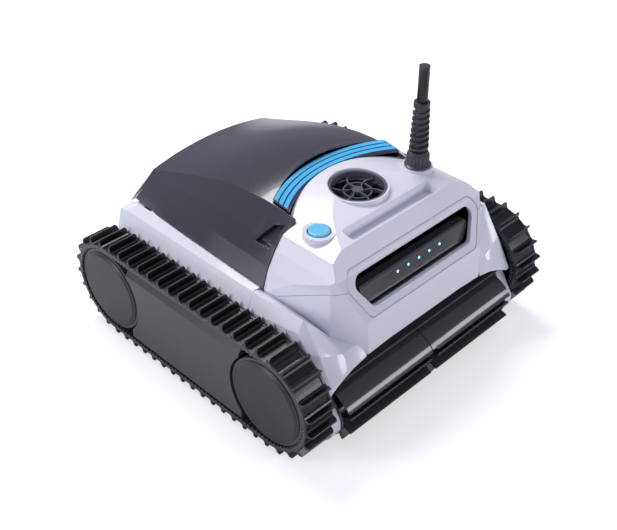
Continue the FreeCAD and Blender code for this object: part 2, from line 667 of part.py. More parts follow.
def lid_wire(row, d, drop):
    """Closed section of the lid at one station, moved inwards by d and down by drop at its foot."""
    y, crown = row[0], row[1] - d
    side = []
    creases = row[2:]
    for k, (x, z) in enumerate(creases):
        a = creases[k - 1] if k else (0, row[1])
        b = creases[k + 1] if k + 1 < len(creases) else (2 * x - a[0], 2 * z - a[1])
        t = math.atan2(b[1] - a[1], b[0] - a[0])
        foot = drop if k == len(creases) - 1 else d * math.cos(t)
        side.append((x + d * math.sin(t), z - foot))
    run = [V(x, y, z) for x, z in side]
    arc = Part.Arc(V(-side[0][0], y, side[0][1]), V(0, y, crown), run[0]).toShape()
    edges = [arc] + [Part.makeLine(a, b) for a, b in zip(run, run[1:])]
    back = [V(-p.x, y, p.z) for p in reversed(run)]
    edges.append(Part.makeLine(run[-1], back[0]))
    edges += [Part.makeLine(a, b) for a, b in zip(back, back[1:])]
    return Part.Wire(edges)


def lid_form(d, drop):
    """Solid form of the lid, moved inwards by d and lowered by drop at its foot."""
    rows = [(LID[0][0] - (1 if d else 0),) + LID[0][1:]] + LID[1:]
    dome = Part.makeLoft([lid_wire(r, d, drop) for r in rows], True, False)
    last = LID[-1]
    tail = (SKIRT[0] - 1.2 * d,) + SKIRT[1:]
    skirt = Part.makeLoft([lid_wire(last, d, drop), lid_wire(tail, d, drop)], True, True)
    return dome.fuse(skirt)


def knuckle(x0, x1):
    return rod_x(5.0, x0, x1, HINGE_Y, HINGE_Z)


LID_KNUCKLES = ((-78.0, -62.0), (62.0, 78.0))


GRIP = ((-64.0, 189.0), (-42.0, 189.0), (-53.0, 206.0), (-64.0, 208.0))
GRIP_DEPTH = 6.0
GRIP_WALL = 1.6


def grip_prism(grow):
    """Outline of the right finger grip near the lid's front corner, grown by grow."""
    return prism_x(inset(GRIP, -grow), 95, 140)


def filter_lid():
    """Dark domed lid with front horns, side grips and two hinge knuckles."""
    shell = lid_form(0, 0).cut(lid_form(WALL, 20))
    rim = rod_z(RIM_R, 0, RIM_C, 100, 260).common(box(-HORN_X, HORN_X, -200, 20, 100, 260))
    shell = shell.cut(rim)
    knuckles = []
    for x0, x1 in LID_KNUCKLES:
        arm = box(x0, x1, SKIRT[0] - 6, HINGE_Y, HINGE_Z - 1, HINGE_Z + 5)
        knuckles += [knuckle(x0, x1), arm]
    body = fuse([shell] + knuckles)
    cuts = [rod_x(PIN_R + RUN, -90, 90, HINGE_Y, HINGE_Z)]
    for x0, x1 in LID_KNUCKLES:
        cuts += [rod_x(5 + CLEAR, a, b, HINGE_Y, HINGE_Z)
                 for a, b in ((x0 - 7 - CLEAR, x0), (x1, x1 + 7 + CLEAR))]
    grip = grip_prism(GRIP_WALL).common(lid_form(0, 0).cut(lid_form(GRIP_DEPTH + GRIP_WALL, 20)))
    scoop = grip_prism(0).cut(lid_form(GRIP_DEPTH, 20))
    body = fuse([body, grip, mirror_x(grip)])
    cuts += [scoop, mirror_x(scoop)]
    body = body.cut(Part.makeCompound(cuts))
    return body


# ---------------------------------------------------------------- fenders and rear
LEDGE_Z = 149.0


def fender():
    """Right fender behind the front seam: ledge under the lid, shoulder and outer wall."""
    y0, y1 = HORN_Y + 4, 152.6
    outline = [(HULL_HALF + 0.3, 106), (FENDER_X, 106), (FENDER_X, 128), (150, LEDGE_Z), (120, LEDGE_Z)]
    outline += [(120, 140), (HULL_HALF + 0.3, 128)]
    body = prism_y(outline, y0, y1)
    core = [(100, 60), (FENDER_X - WALL, 60), (FENDER_X - WALL, 127), (149, LEDGE_Z - WALL)]
    core += [(100, LEDGE_Z - WALL)]
    body = body.cut(prism_y(core, y0 + WALL, y1 - WALL))
    foot = box(HULL_HALF, FENDER_X, y0, 140, 106, 110)
    foot = foot.cut(box(HULL_HALF + 3, FENDER_X - WALL, y0 + 3, 137, 105, 112))
    body = fuse([body, foot]).cut(lid_form(-1.2, 0.6))
    relief = box(100, 131.5, 131, 160, 144, 152)       # lets the lid's rear corner swing past
    return body.cut(relief).cut(case_outline(2 + CLEAR, HULL_HALF - 1, FENDER_X + 1))


def rear_shell():
    """White rear apron under the lid's skirt, with its two corner pieces and hinge ears."""
    def form(d):
        side = inset([(150, 84 + 0), (188, 84), (190.5, 112), (189, 129.5), (168, 141), (150, 141)], d)
        front = inset([(-153, 84), (153, 84), (151, 108), (139, 134), (122, 141), (-122, 141), (-139, 134),
                       (-151, 108)], d)
        plan = inset([(-152, 140), (152, 140), (148, 178), (118, 192), (-118, 192), (-148, 178)], d)
        out = prism_x(side, -160, 160).common(prism_y(front, 100, 200))
        return out.common(prism_z(plan, 40, 170))
    shell = form(0).cut(form(WALL)).cut(box(-160, 160, 100, 153.2, 60, 200))
    shell = shell.cut(box(-150.2, 150.2, 100, 186, 60, 86.7))
    shell = shell.cut(case_outline(3 + CLEAR, -160, 160))
    shell = shell.cut(lid_form(-0.5, 0.4)).cut(box(-121, 121, 140, 184, 130, 150))
    shell = shell.cut(box(-300, 300, 180, 200, 126, 150).common(box(-118.5, 118.5, 100, 300, 0, 300)))
    for x0, x1 in LID_KNUCKLES:
        shell = shell.cut(rod_x(5 + CLEAR, x0 - CLEAR, x1 + CLEAR, HINGE_Y, HINGE_Z))
    ears = []
    for x0, x1 in LID_KNUCKLES:
        for a, b in ((x0 - 7, x0 - CLEAR), (x1 + CLEAR, x1 + 7)):
            ear = rod_x(4.5, a, b, HINGE_Y, HINGE_Z)
            foot = box(a, b, 188.6, HINGE_Y + 4, HINGE_Z - 16, HINGE_Z)
            ears.append(ear.fuse(foot).cut(rod_x(PIN_R, a - 1, b + 1, HINGE_Y, HINGE_Z)))
    return fuse([shell] + ears)


def hinge_pins():
    return [rod_x(PIN_R, x0 - 7, x1 + 7, HINGE_Y, HINGE_Z) for x0, x1 in LID_KNUCKLES]


# ---------------------------------------------------------------- water path
DUCT_Z = 158.0
IMPELLER_Z = (188.0, 206.0)
BASKET_X = 88.0
BASKET_Y = (-4.0, 128.0)
BASKET_Z = (62.0, 176.0)


def outlet_duct():
    """Throat under the grille, standing on the motor box on three legs."""
    tube = rod_z(FAN_R + WALL, FAN[0], FAN[1], DUCT_Z, 205).cut(rod_z(FAN_R, FAN[0], FAN[1], DUCT_Z - 1, 206))
    legs = []
    for k in range(3):
        leg = box(FAN_R - 0.5, FAN_R + 4, -4, 4, BOX_TOP, DUCT_Z + 4)
        leg.rotate(V(0, 0, 0), V(0, 0, 1), 90 + 120 * k)
        leg.translate(V(FAN[0], FAN[1], 0))
        legs.append(leg)
    return fuse([tube] + legs)


VANES = 6


def outlet_grille():
    """Dark bowl over the impeller: rim, middle ring, hub and curved vanes."""
    def ring(r0, r1, z0, z1):
        return rod_z(r1, FAN[0], FAN[1], z0, z1).cut(rod_z(r0, FAN[0], FAN[1], z0 - 1, z1 + 1))
    rim = ring(FAN_R - 3.2, FAN_R - 0.1, 209, 218.2)
    middle = ring(15, 16.6, 208.5, 212.5)
    hub = rod_z(6.5, FAN[0], FAN[1], 208.5, 214)
    vanes = []
    for k in range(VANES):
        a = Part.Arc(V(5.5, 0, 209), V(16, 6.5, 209), V(FAN_R - 1.5, 1, 209)).toShape()
        b = Part.Arc(V(5.5, -1.6, 209), V(16, 4.9, 209), V(FAN_R - 1.5, -0.8, 209)).toShape()
        ends = [Part.makeLine(V(FAN_R - 1.5, 1, 209), V(FAN_R - 1.5, -0.8, 209)),
                Part.makeLine(V(5.5, -1.6, 209), V(5.5, 0, 209))]
        vane = Part.Face(Part.Wire(Part.__sortEdges__([a, b] + ends))).extrude(V(0, 0, 4.5))
        vane.rotate(V(0, 0, 0), V(0, 0, 1), 360 / VANES * k)
        vane.translate(V(FAN[0], FAN[1], 0))
        vanes.append(vane)
    return fuse([rim, middle, hub] + vanes)


BLADES = 4


def impeller():
    """Pump impeller: hub, leaning blades and the long shaft down to the motor."""
    z0, z1 = IMPELLER_Z
    hub = rod_z(8, FAN[0], FAN[1], z0, z1)
    shaft = rod_z(SHAFT_R, FAN[0], FAN[1], 90, z1)
    blades = []
    for k in range(BLADES):
        blade = box(6, FAN_R - 1.6, -1.0, 1.0, -8, 8)
        blade.rotate(V(0, 0, 0), V(1, 0, 0), 48)
        blade.translate(V(0, 0, (z0 + z1) / 2))
        blade.rotate(V(0, 0, 0), V(0, 0, 1), 360 / BLADES * k + 15)
        blade.translate(V(FAN[0], FAN[1], 0))
        blades.append(blade)
    swept = rod_z(FAN_R - 1.6, FAN[0], FAN[1], z0, z1)
    return fuse([hub, shaft] + [b.common(swept) for b in blades])


BOX_X = 80.0
BOX_Y = (-129.0, -24.0)
BOX_TOP = 122.0


def motor_box():
    """Sealed box for the pump motor and the control board."""
    z0 = FLOOR_Z + FLOOR_T
    outer = box(-BOX_X, BOX_X, BOX_Y[0], BOX_Y[1], z0, BOX_TOP - 4)
    return outer.cut(box(-BOX_X + 3, BOX_X - 3, BOX_Y[0] + 3, BOX_Y[1] - 3, z0 + 3, BOX_TOP))


def motor_box_seal():
    """Gasket between the motor box and its lid."""
    z = BOX_TOP - 4
    ring = box(-BOX_X, BOX_X, BOX_Y[0], BOX_Y[1], z, z + 1)
    return ring.cut(box(-BOX_X + 3, BOX_X - 3, BOX_Y[0] + 3, BOX_Y[1] - 3, z - 1, z + 2))


def motor_box_lid():
    lid = box(-BOX_X, BOX_X, BOX_Y[0], BOX_Y[1], BOX_TOP - 3, BOX_TOP)
    return lid.cut(rod_z(9, FAN[0], FAN[1], BOX_TOP - 5, BOX_TOP + 1))


def shaft_seal():
    """Lip seal round the pump shaft in the lid of the motor box."""
    ring = rod_z(9, FAN[0], FAN[1], BOX_TOP - 3, BOX_TOP + 1)
    return ring.cut(rod_z(SHAFT_R + RUN, FAN[0], FAN[1], BOX_TOP - 5, BOX_TOP + 2))


def pump_motor():
    can = rod_z(23, FAN[0], FAN[1], 30, 112)
    foot = rod_z(27, FAN[0], FAN[1], FLOOR_Z + FLOOR_T + 3, 30)
    nose = rod_z(9, FAN[0], FAN[1], 112, 116)
    return fuse([can, foot, nose]).cut(rod_z(SHAFT_R + RUN, FAN[0], FAN[1], 89, 117))


def drive_motor():
    """Right drive motor and gearbox in one sealed can bolted to the side wall."""
    x1 = HULL_HALF - HULL_WALL
    can = rod_x(17, 84, x1 - 4, -PINION_Y, WHEEL_Z)
    flange = rod_x(22, x1 - 4, x1, -PINION_Y, WHEEL_Z)
    bore = rod_x(SHAFT_R + RUN, HULL_HALF - 31, x1 + 1, -PINION_Y, WHEEL_Z)
    return fuse([can, flange]).cut(bore)


def control_board():
    """Control board on two standoffs against the front wall of the motor box."""
    y = BOX_Y[0] + 3
    board = box(-64, 64, y + 5, y + 6.6, 44, 106)
    parts = [board]
    for x in (-52, 52):
        parts.append(Part.makeCylinder(3, 5, V(x, y, 75), V(0, 1, 0)))
    parts.append(box(-20, 10, y + 6.6, y + 10, 62, 84))
    parts += [Part.makeCylinder(6, 13, V(x, y + 6.6, 95), V(0, 1, 0)) for x in (-44, -28, 40)]
    return fuse(parts)


def inlet_duct():
    """Short chimney from the suction mouth to the floor of the basket."""
    z0 = FLOOR_Z
    x, y0, y1 = MOUTH
    outer = box(-x, x, y0, y1, z0, BASKET_Z[0] - SEAT)
    flange = box(-x - 5, x + 5, y0 - 5, y1 + 5, z0 + FLOOR_T, z0 + FLOOR_T + 2)
    return fuse([outer, flange]).cut(box(-x + 2, x - 2, y0 + 2, y1 - 2, z0 - 1, BASKET_Z[0]))


def suction_lips():
    """Two soft blades under the floor, before and behind the suction mouth."""
    out = []
    for y in (MOUTH[1] - 9, MOUTH[2] + 6):
        out.append(box(-100, 100, y, y + 3, 7, FLOOR_Z))
    return out


def basket_frame():
    """Filter basket frame: floor, posts, rim and bail."""
    x, (y0, y1), (z0, z1) = BASKET_X, BASKET_Y, BASKET_Z
    floor = box(-x, x, y0, y1, z0, z0 + 2.5)
    floor = floor.cut(box(-MOUTH[0] + 2, MOUTH[0] - 2, MOUTH[1] + 2, MOUTH[2] - 2, z0 - 1, z0 + 4))
    rim = box(-x, x, y0, y1, z1 - 5, z1).cut(box(-x + 4, x - 4, y0 + 4, y1 - 4, z1 - 6, z1 + 1))
    posts = []
    for a in (-x, -x / 3 - 2, x / 3 - 2, x - 4):
        posts += [box(a, a + 4, y, y + 4, z0, z1 - 1) for y in (y0, y1 - 4)]
    for b in (y0 + 42, y0 + 84):
        posts += [box(a, a + 4, b, b + 4, z0, z1 - 1) for a in (-x, x - 4)]
    middle = (y0 + y1) / 2
    bail = box(-x + 2, x - 2, middle - 5, middle + 5, z1 - 4, z1)
    return fuse([floor, rim, bail] + posts)


def basket_mesh():
    """Fine filter screen wrapped inside the frame's posts."""
    x, (y0, y1), (z0, z1) = BASKET_X - 4, BASKET_Y, BASKET_Z
    outer = box(-x, x, y0 + 4, y1 - 4, z0 + 2.5, z1 - 5)
    return outer.cut(box(-x + 0.8, x - 0.8, y0 + 4.8, y1 - 4.8, z0, z1))


# ---------------------------------------------------------------- small parts on the deck
BUTTON_R = 12.5
BUTTON_TOP = 215.0


def button_cap():
    """Rounded octagonal push button on a guide stem."""
    pts = []
    for k in range(8):
        a = math.radians(22.5 + 45 * k)
        pts.append((BUTTON[0] + BUTTON_R * math.cos(a), BUTTON[1] + BUTTON_R * math.sin(a)))
    cap = prism_z(pts, 207, BUTTON_TOP)
    sides = [e for e in cap.Edges if abs(e.Vertexes[0].Z - e.Vertexes[1].Z) > 1]
    cap = cap.makeFillet(3.0, sides)
    tops = [e for e in cap.Edges if e.BoundBox.ZMin > BUTTON_TOP - 0.1]
    cap = cap.makeFillet(1.2, tops)
    stem = rod_z(4, BUTTON[0], BUTTON[1], 193, 208)
    return fuse([cap, stem])


def button_spring():
    """Return spring between the cap and the bottom of its well."""
    ring = rod_z(6.6, BUTTON[0], BUTTON[1], 198, 206.8).cut(rod_z(5.2, BUTTON[0], BUTTON[1], 197, 208))
    return ring


NUT_TOP = GLAND_Z + 17.0
BOOT_TOP = NUT_TOP + 56.0
COLLAR_TOP = BOOT_TOP + 7.0
CABLE_TOP = COLLAR_TOP + 42.0
CABLE_R = 6.1


def cable_gland():
    """Gland body screwed into the deck."""
    x, y = GLAND
    body = rod_z(9 - RUN, x, y, 202, 226).fuse(rod_z(13, x, y, 200, 204.5))
    return body.cut(rod_z(CABLE_R + SEAT, x, y, 199, 227))


def gland_nut():
    """Ribbed nut over the gland."""
    x, y = GLAND
    z = GLAND_Z
    nut = Part.makeCone(15.2, 14.2, NUT_TOP - z, V(x, y, z), V(0, 0, 1))
    turns = [k * math.pi / 9 for k in range(18)]
    cuts = [rod_z(1.3, x + 16 * math.cos(a), y + 16 * math.sin(a), z + 3, NUT_TOP + 1) for a in turns]
    nut = nut.cut(Part.makeCompound(cuts))
    bore = rod_z(9, x, y, z - 1, 226).fuse(rod_z(CABLE_R + SEAT, x, y, z - 1, NUT_TOP + 1))
    return nut.cut(bore)


BOOT_TURNS = 7


def cable_boot():
    """Tapered strain relief with separate rings joined by a sleeve, ending in a collar."""
    x, y = GLAND
    z = NUT_TOP
    pitch = (BOOT_TOP - NUT_TOP) / BOOT_TURNS
    parts = [rod_z(CABLE_R + 2.2, x, y, z, COLLAR_TOP)]
    for k in range(BOOT_TURNS):
        r = 11.6 - 1.9 * k / (BOOT_TURNS - 1)
        parts.append(rod_z(r, x, y, z + pitch * k, z + pitch * (k + 0.68)))
    parts.append(rod_z(9.3, x, y, BOOT_TOP, COLLAR_TOP))
    return fuse(parts).cut(rod_z(CABLE_R, x, y, z - 1, COLLAR_TOP + 1))


def cable():
    return rod_z(CABLE_R, GLAND[0], GLAND[1], NUT_TOP, CABLE_TOP)


def screws():
    """Screws that hold the floor of the motor box."""
    out = []
    for x in (-60, 60):
        for y in (-120, -34):
            head = rod_z(4.5, x, y, FLOOR_Z - 2, FLOOR_Z)
            out.append(head)
    return out


# ---------------------------------------------------------------- build every piece
SIDES = (("right", lambda s: s), ("left", mirror_x))

save("chassis_base", chassis_base())
save("wheel_axles", *wheel_axles())
save("brush_pins", *brush_pins())
save("front_cowl", front_cowl())
save("front_shell", front_shell())
save("rear_shell", rear_shell())
save("window_bezel", window_bezel())
save("handle_pocket", handle_pocket())
save("led_lens", led_lens())
save("led_lamps", *led_lamps())
save("trim_base", trim_base())
save("trim_stripes", *trim_stripes())
save("filter_lid", filter_lid())
save("lid_hinge_pins", *hinge_pins())
save("outlet_duct", outlet_duct())
save("outlet_grille", outlet_grille())
save("impeller", impeller())
save("motor_box", motor_box())
save("motor_box_seal", motor_box_seal())
save("motor_box_lid", motor_box_lid())
save("shaft_seal", shaft_seal())
save("pump_motor", pump_motor())
save("control_board", control_board())
save("inlet_duct", inlet_duct())
save("suction_lips", *suction_lips())
save("basket_frame", basket_frame())
save("basket_mesh", basket_mesh())
save("button_cap", button_cap())
save("button_spring", button_spring())
save("cable_gland", cable_gland())
save("gland_nut", gland_nut())
save("cable_boot", cable_boot())
save("cable", cable())
save("base_screws", *screws())
bracket = centre_bracket()
guard = roller_guard()
save("brush_brackets", bracket, mirror_y(bracket))
save("brush_guards", *guard.Solids, *mirror_y(guard).Solids)
save("track_frames", track_frame(), mirror_x(track_frame()))
save("gear_covers", gear_cover(), mirror_x(gear_cover()))
save("drive_motors", drive_motor(), mirror_x(drive_motor()))
for side, turn in SIDES:
    save("track_" + side, turn(track_belt()))
    save("side_panel_" + side, turn(side_panel()))
    save("fender_" + side, turn(fender()))
    save("pinion_" + side, turn(pinion()))
    for end, t in (("front", -1), ("rear", 1)):
        save("wheel_%s_%s" % (end, side), *[turn(s) for s in wheel(t)])
        save("wheel_cap_%s_%s" % (end, side), turn(wheel_cap(t)))
        save("brush_%s_%s" % (end, side), *[turn(s) for s in brush(t)])
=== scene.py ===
import bpy
import bmesh
import json
import math
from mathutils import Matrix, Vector


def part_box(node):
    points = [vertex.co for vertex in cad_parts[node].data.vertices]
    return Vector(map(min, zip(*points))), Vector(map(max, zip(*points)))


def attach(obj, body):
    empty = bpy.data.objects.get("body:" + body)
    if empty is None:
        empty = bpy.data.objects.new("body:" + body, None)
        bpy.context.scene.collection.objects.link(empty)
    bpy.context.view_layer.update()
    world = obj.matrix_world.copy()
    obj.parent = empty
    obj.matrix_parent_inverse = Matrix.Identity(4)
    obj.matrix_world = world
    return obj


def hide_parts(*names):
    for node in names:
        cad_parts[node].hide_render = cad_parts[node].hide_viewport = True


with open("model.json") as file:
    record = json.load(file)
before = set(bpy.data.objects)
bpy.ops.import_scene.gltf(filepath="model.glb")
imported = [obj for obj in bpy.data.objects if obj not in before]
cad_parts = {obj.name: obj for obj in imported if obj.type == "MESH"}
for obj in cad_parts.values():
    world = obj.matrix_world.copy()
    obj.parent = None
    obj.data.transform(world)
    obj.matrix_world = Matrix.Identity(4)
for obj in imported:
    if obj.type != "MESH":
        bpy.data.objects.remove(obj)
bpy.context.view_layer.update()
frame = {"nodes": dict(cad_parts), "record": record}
scene = bpy.context.scene
nodes = frame["nodes"]


# ------------------------------------------------------------------ camera
LENS = 58.8                   # millimetres, on a sensor 36 wide
CAMERA_AT = (-0.7007, -0.6959, 0.8108)
CAMERA_AIM = (0.00894, 0.00867, 0.060)


def add_camera():
    data = bpy.data.cameras.new("camera")
    data.lens = LENS
    data.sensor_width = 36.0
    data.sensor_fit = "HORIZONTAL"
    data.clip_start = 0.01
    cam = bpy.data.objects.new("camera", data)
    scene.collection.objects.link(cam)
    cam.location = CAMERA_AT
    aim = Vector(CAMERA_AIM) - cam.location
    cam.rotation_euler = aim.to_track_quat("-Z", "Y").to_euler()
    scene.camera = cam


# ------------------------------------------------------------------ materials
def new_material(name):
    m = bpy.data.materials.new(name)
    m.use_nodes = True
    tree = m.node_tree
    tree.nodes.clear()
    out = tree.nodes.new("ShaderNodeOutputMaterial")
    shader = tree.nodes.new("ShaderNodeBsdfPrincipled")
    tree.links.new(shader.outputs[0], out.inputs["Surface"])
    return m, tree, shader


def link(tree, a, output, b, socket):
    tree.links.new(a.outputs[output], b.inputs[socket])


def noise(tree, scale, detail=3.0):
    coords = tree.nodes.new("ShaderNodeTexCoord")
    n = tree.nodes.new("ShaderNodeTexNoise")
    n.inputs["Scale"].default_value = scale
    n.inputs["Detail"].default_value = detail
    link(tree, coords, "Object", n, "Vector")
    return n


def ranged(tree, node, output, low, high):
    r = tree.nodes.new("ShaderNodeMapRange")
    r.inputs["To Min"].default_value = low
    r.inputs["To Max"].default_value = high
    link(tree, node, output, r, "Value")
    return r


def moulded(name, rgb, rough, grain=0.02, grain_scale=1500, vary=0.06, edge=0.0006, coat=0.0, metal=0.0,
            edge_highlight=0.25):
    """Moulded piece: slight colour and gloss variation, fine grain, softened edges, and a painted highlight
    that lightens the base colour on convex edges.
    """
    m, tree, s = new_material(name)
    broad = noise(tree, 9, 4)
    mix = tree.nodes.new("ShaderNodeMix")
    mix.data_type = "RGBA"
    mix.inputs["A"].default_value = (*[c * (1 - vary) for c in rgb], 1)
    mix.inputs["B"].default_value = (*[min(1, c * (1 + vary)) for c in rgb], 1)
    link(tree, broad, "Fac", mix, "Factor")
    fine = noise(tree, grain_scale, 2)
    gloss = ranged(tree, noise(tree, 60, 3), "Fac", max(0.02, rough - 0.05), rough + 0.05)
    link(tree, gloss, "Result", s, "Roughness")
    bevel = tree.nodes.new("ShaderNodeBevel")
    bevel.samples = 4
    bevel.inputs["Radius"].default_value = edge
    bump = tree.nodes.new("ShaderNodeBump")
    bump.inputs["Strength"].default_value = grain
    bump.inputs["Distance"].default_value = 0.0005
    link(tree, fine, "Fac", bump, "Height")
    link(tree, bevel, "Normal", bump, "Normal")
    link(tree, bump, "Normal", s, "Normal")
    geo = tree.nodes.new("ShaderNodeNewGeometry")
    # painted highlight: the base colour is lightened towards white on convex edges, found by pointiness
    point = ranged(tree, geo, "Pointiness", 0.0, 1.0)
    point.inputs["From Min"].default_value = 0.53
    point.inputs["From Max"].default_value = 0.62
    light = tree.nodes.new("ShaderNodeMix")
    light.data_type = "RGBA"
    light.inputs["B"].default_value = (*[min(1, c + (1 - c) * edge_highlight * 0.2) for c in rgb], 1)
    link(tree, mix, "Result", light, "A")
    link(tree, point, "Result", light, "Factor")
    link(tree, light, "Result", s, "Base Color")
    s.inputs["Metallic"].default_value = metal
    s.inputs["Coat Weight"].default_value = coat
    s.inputs["Coat Roughness"].default_value = 0.06
    return m


MATERIALS = {
    "white_shell": moulded("white_shell", (0.83, 0.83, 0.89), 0.22, 0.01, 1200, 0.015, 0.0014, 0.5),
    "lid_grey": moulded("lid_grey", (0.046, 0.043, 0.054), 0.20, 0.02, 1800, 0.05, 0.0014, 0.5),
    "panel_grey": moulded("panel_grey", (0.017, 0.0165, 0.021), 0.36, 0.04, 1500, 0.08, 0.0010),
    "cap_grey": moulded("cap_grey", (0.030, 0.029, 0.034), 0.38, 0.04, 1500, 0.08, 0.0010),
    "wheel_black": moulded("wheel_black", (0.006, 0.006, 0.008), 0.35, 0.05),
    "track_rubber": moulded("track_rubber", (0.004, 0.004, 0.006), 0.30, 0.06, 900, 0.15, 0.0006, 0.1),
    "brush_rubber": moulded("brush_rubber", (0.003, 0.003, 0.005), 0.26, 0.04, 900, 0.10, 0.0004, 0.15),
    "seal_rubber": moulded("seal_rubber", (0.01, 0.01, 0.012), 0.55, 0.08, 900),
    "gloss_black": moulded("gloss_black", (0.003, 0.003, 0.005), 0.14, 0.01, 900, 0.05, 0.0008, 0.5),
    "grey_frame": moulded("grey_frame", (0.02, 0.02, 0.024), 0.5, 0.08),
    "dark_frame": moulded("dark_frame", (0.012, 0.012, 0.015), 0.5, 0.08),
    "pocket_grey": moulded("pocket_grey", (0.006, 0.006, 0.009), 0.16, 0.01, 900, 0.05, 0.0008, 0.4),
    "smoked_lens": moulded("smoked_lens", (0.004, 0.004, 0.006), 0.14, 0.01, 900, 0.05, 0.0008, 0.5),
    "navy_trim": moulded("navy_trim", (0.004, 0.012, 0.07), 0.22, 0.01),
    "blue_trim": moulded("blue_trim", (0.045, 0.52, 0.93), 0.24, 0.01, 900, 0.03, 0.0004, 0.4),
    "grille_grey": moulded("grille_grey", (0.06, 0.068, 0.09), 0.30, 0.03),
    "impeller_blue": moulded("impeller_blue", (0.008, 0.009, 0.014), 0.35, 0.03),
    "motor_metal": moulded("motor_metal", (0.10, 0.10, 0.11), 0.4, 0.04, metal=0.8),
    "board_green": moulded("board_green", (0.02, 0.14, 0.06), 0.4, 0.04),
    "basket_grey": moulded("basket_grey", (0.22, 0.23, 0.25), 0.45, 0.05),
    "mesh_white": moulded("mesh_white", (0.72, 0.74, 0.76), 0.8, 0.3, 500),
    "button_cyan": moulded("button_cyan", (0.16, 0.60, 0.88), 0.22, 0.01, 900, 0.03, 0.0012, 0.5),
    "gland_grey": moulded("gland_grey", (0.055, 0.060, 0.066), 0.30, 0.04, 1200, 0.1, 0.0005, 0.2),
    "boot_black": moulded("boot_black", (0.022, 0.023, 0.028), 0.30, 0.04, 1200, 0.1, 0.0006, 0.2),
    "cable_black": moulded("cable_black", (0.003, 0.003, 0.004), 0.20, 0.02, 900, 0.05, 0.0004, 0.3),
    "steel": moulded("steel", (0.55, 0.55, 0.57), 0.3, 0.03, 900, 0.03, 0.0004, metal=1.0),
}


def lamp_glow():
    m, tree, s = new_material("lamp")
    s.inputs["Base Color"].default_value = (0.5, 0.9, 1.0, 1)
    gloss = ranged(tree, noise(tree, 200, 2), "Fac", 0.2, 0.35)
    link(tree, gloss, "Result", s, "Roughness")
    s.inputs["Emission Color"].default_value = (0.10, 0.55, 1.0, 1)
    s.inputs["Emission Strength"].default_value = 2.4
    return m


MATERIALS["lamp"] = lamp_glow()


def dress_cad():
    """Gives every carried-over CAD piece the material of its slot."""
    for part in frame["record"]["subparts"]:
        o = nodes[part["node"]]
        o.data.materials.clear()
        o.data.materials.append(MATERIALS[part["material_slot"]])


def add_piece(name, mesh, slot, body, *replaced):
    o = bpy.data.objects.new(name, mesh)
    scene.collection.objects.link(o)
    mesh.materials.append(MATERIALS[slot])
    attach(o, body)
    if replaced:
        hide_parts(*replaced)
    return o


# ------------------------------------------------------------------ mesh building
class Shape:
    """Collects sections into one mesh."""

    def __init__(self):
        self.points = []
        self.faces = []

    def sweep(self, sections, loop=False):
        """Joins equal closed sections in a row; the ends are capped unless the row is a loop."""
        first = len(self.points)
        n = len(sections[0])
        for section in sections:
            self.points += [tuple(p) for p in section]
        count = len(sections)
        for i in range(count if loop else count - 1):
            a = first + i * n
            b = first + (i + 1) % count * n
            for j in range(n):
                k = (j + 1) % n
                self.faces.append((a + j, a + k, b + k, b + j))
        if not loop:
            self.faces.append(tuple(range(first + n - 1, first - 1, -1)))
            last = first + (count - 1) * n
            self.faces.append(tuple(range(last, last + n)))

    def mesh(self, name, smooth_angle=None):
        data = bpy.data.meshes.new(name)
        data.from_pydata(self.points, [], self.faces)
        bm = bmesh.new()
        bm.from_mesh(data)
        bmesh.ops.recalc_face_normals(bm, faces=bm.faces)
        bm.to_mesh(data)
        bm.free()
        if smooth_angle:
            data.shade_smooth()
            data.set_sharp_from_angle(angle=smooth_angle)
        return data


def ring_z(centre, r, z, sides):
    turns = [2 * math.pi * k / sides for k in range(sides)]
    return [(centre.x + r * math.cos(a), centre.y + r * math.sin(a), z) for a in turns]


# ------------------------------------------------------------------ tracks
LUGS = 51
LUG_H = 0.010
BELT_T = 0.003
TEETH = 3                     # inner teeth to each lug
TOOTH_H = 0.0018
TOOTH_W = 0.0030
RIM_H = 0.0010                # raised edge of the belt
RIM_W = 0.0026
SINK = 0.0002                 # how far a piece of a mesh starts inside the one it stands on
STEPS_PER_LUG = 4
LUG_ENDS = ((0.0004, 0.70), (0.0022, 1.0))     # distance from the belt's edge, share of the height
MM = 0.001
# outline of one lug in millimetres: along the belt, and out from it
LUG_PROFILE = ((-4.2, -0.2), (-4.2, 1.6), (-2.0, 2.6), (-1.0, 9.6), (-0.6, 10.0), (0.6, 10.0), (1.0, 9.6),
               (2.0, 2.6), (4.2, 1.6), (4.2, -0.2))


class BeltPath:
    """Centre line of a belt round its two wheels, in the plane of the side."""

    def __init__(self, side):
        low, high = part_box("track_" + side)
        self.x0, self.x1 = low.x, high.x
        self.r = (high.z - low.z) / 2 - LUG_H
        self.z = (high.z + low.z) / 2
        self.wheel_y = (high.y - low.y) / 2 - LUG_H - self.r
        self.length = 4 * self.wheel_y + 2 * math.pi * self.r

    def frame_at(self, d):
        """Point, tangent and outward normal at the distance d from the middle of the top run."""
        d %= self.length
        arc = math.pi * self.r
        if d < self.wheel_y:
            return Vector((0, -d, self.z + self.r)), Vector((0, -1, 0)), Vector((0, 0, 1))
        d -= self.wheel_y
        if d < arc:
            return self.turn(-self.wheel_y, math.pi / 2 + d / self.r)
        d -= arc
        if d < 2 * self.wheel_y:
            return Vector((0, d - self.wheel_y, self.z - self.r)), Vector((0, 1, 0)), Vector((0, 0, -1))
        d -= 2 * self.wheel_y
        if d < arc:
            return self.turn(self.wheel_y, 1.5 * math.pi + d / self.r)
        d -= arc
        return Vector((0, self.wheel_y - d, self.z + self.r)), Vector((0, -1, 0)), Vector((0, 0, 1))

    def turn(self, y, a):
        normal = Vector((0, math.cos(a), math.sin(a)))
        tangent = Vector((0, -math.sin(a), math.cos(a)))
        return Vector((0, y, self.z)) + self.r * normal, tangent, normal


